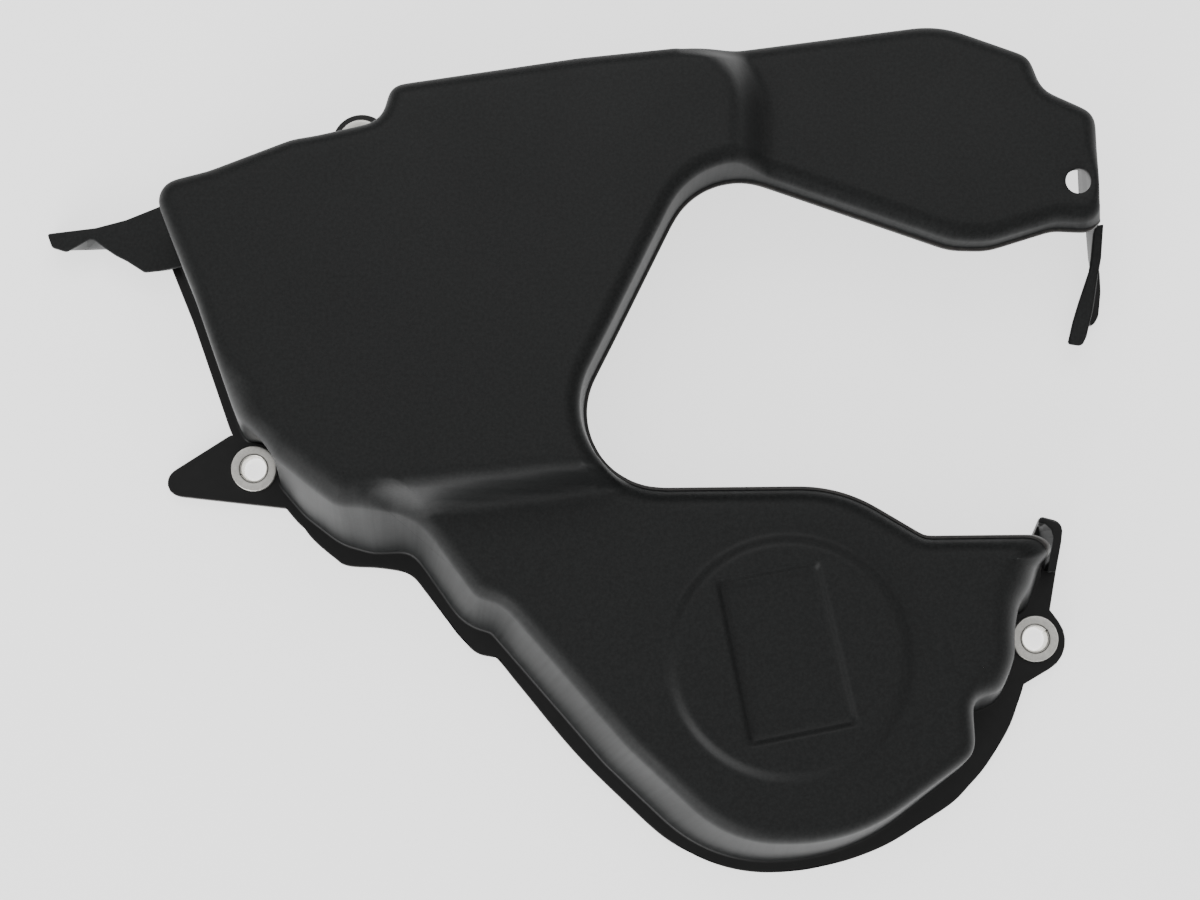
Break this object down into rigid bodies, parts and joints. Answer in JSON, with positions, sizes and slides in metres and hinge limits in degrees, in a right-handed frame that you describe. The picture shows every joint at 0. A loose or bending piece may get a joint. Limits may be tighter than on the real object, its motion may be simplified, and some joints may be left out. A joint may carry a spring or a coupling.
{
  "type": "engine timing cover",
  "caption": "Moulded black plastic timing cover, C-shaped round an open side, with a high plateau, a lower domed lobe, a raised arm and flanged steel bolt sleeves.",
  "frame": {"origin": "on the left bolt sleeve's axis, in the plane in which the cover seats on the engine", "axes": "+X to the right and +Y up as the cover is seen from outside, +Z away from the engine"},
  "size_m": [0.2981, 0.2354, 0.046],
  "materials": {
    "cover_plastic": "fine-grained matt black, as moulded",
    "sleeve_steel": "dull zinc plating"
  },
  "bodies": {
    "root": {"cover_shell": "cover_plastic", "bolt_sleeve_left": "sleeve_steel", "bolt_sleeve_right": "sleeve_steel", "bolt_sleeve_top": "sleeve_steel"}
  },
  "joints": []
}
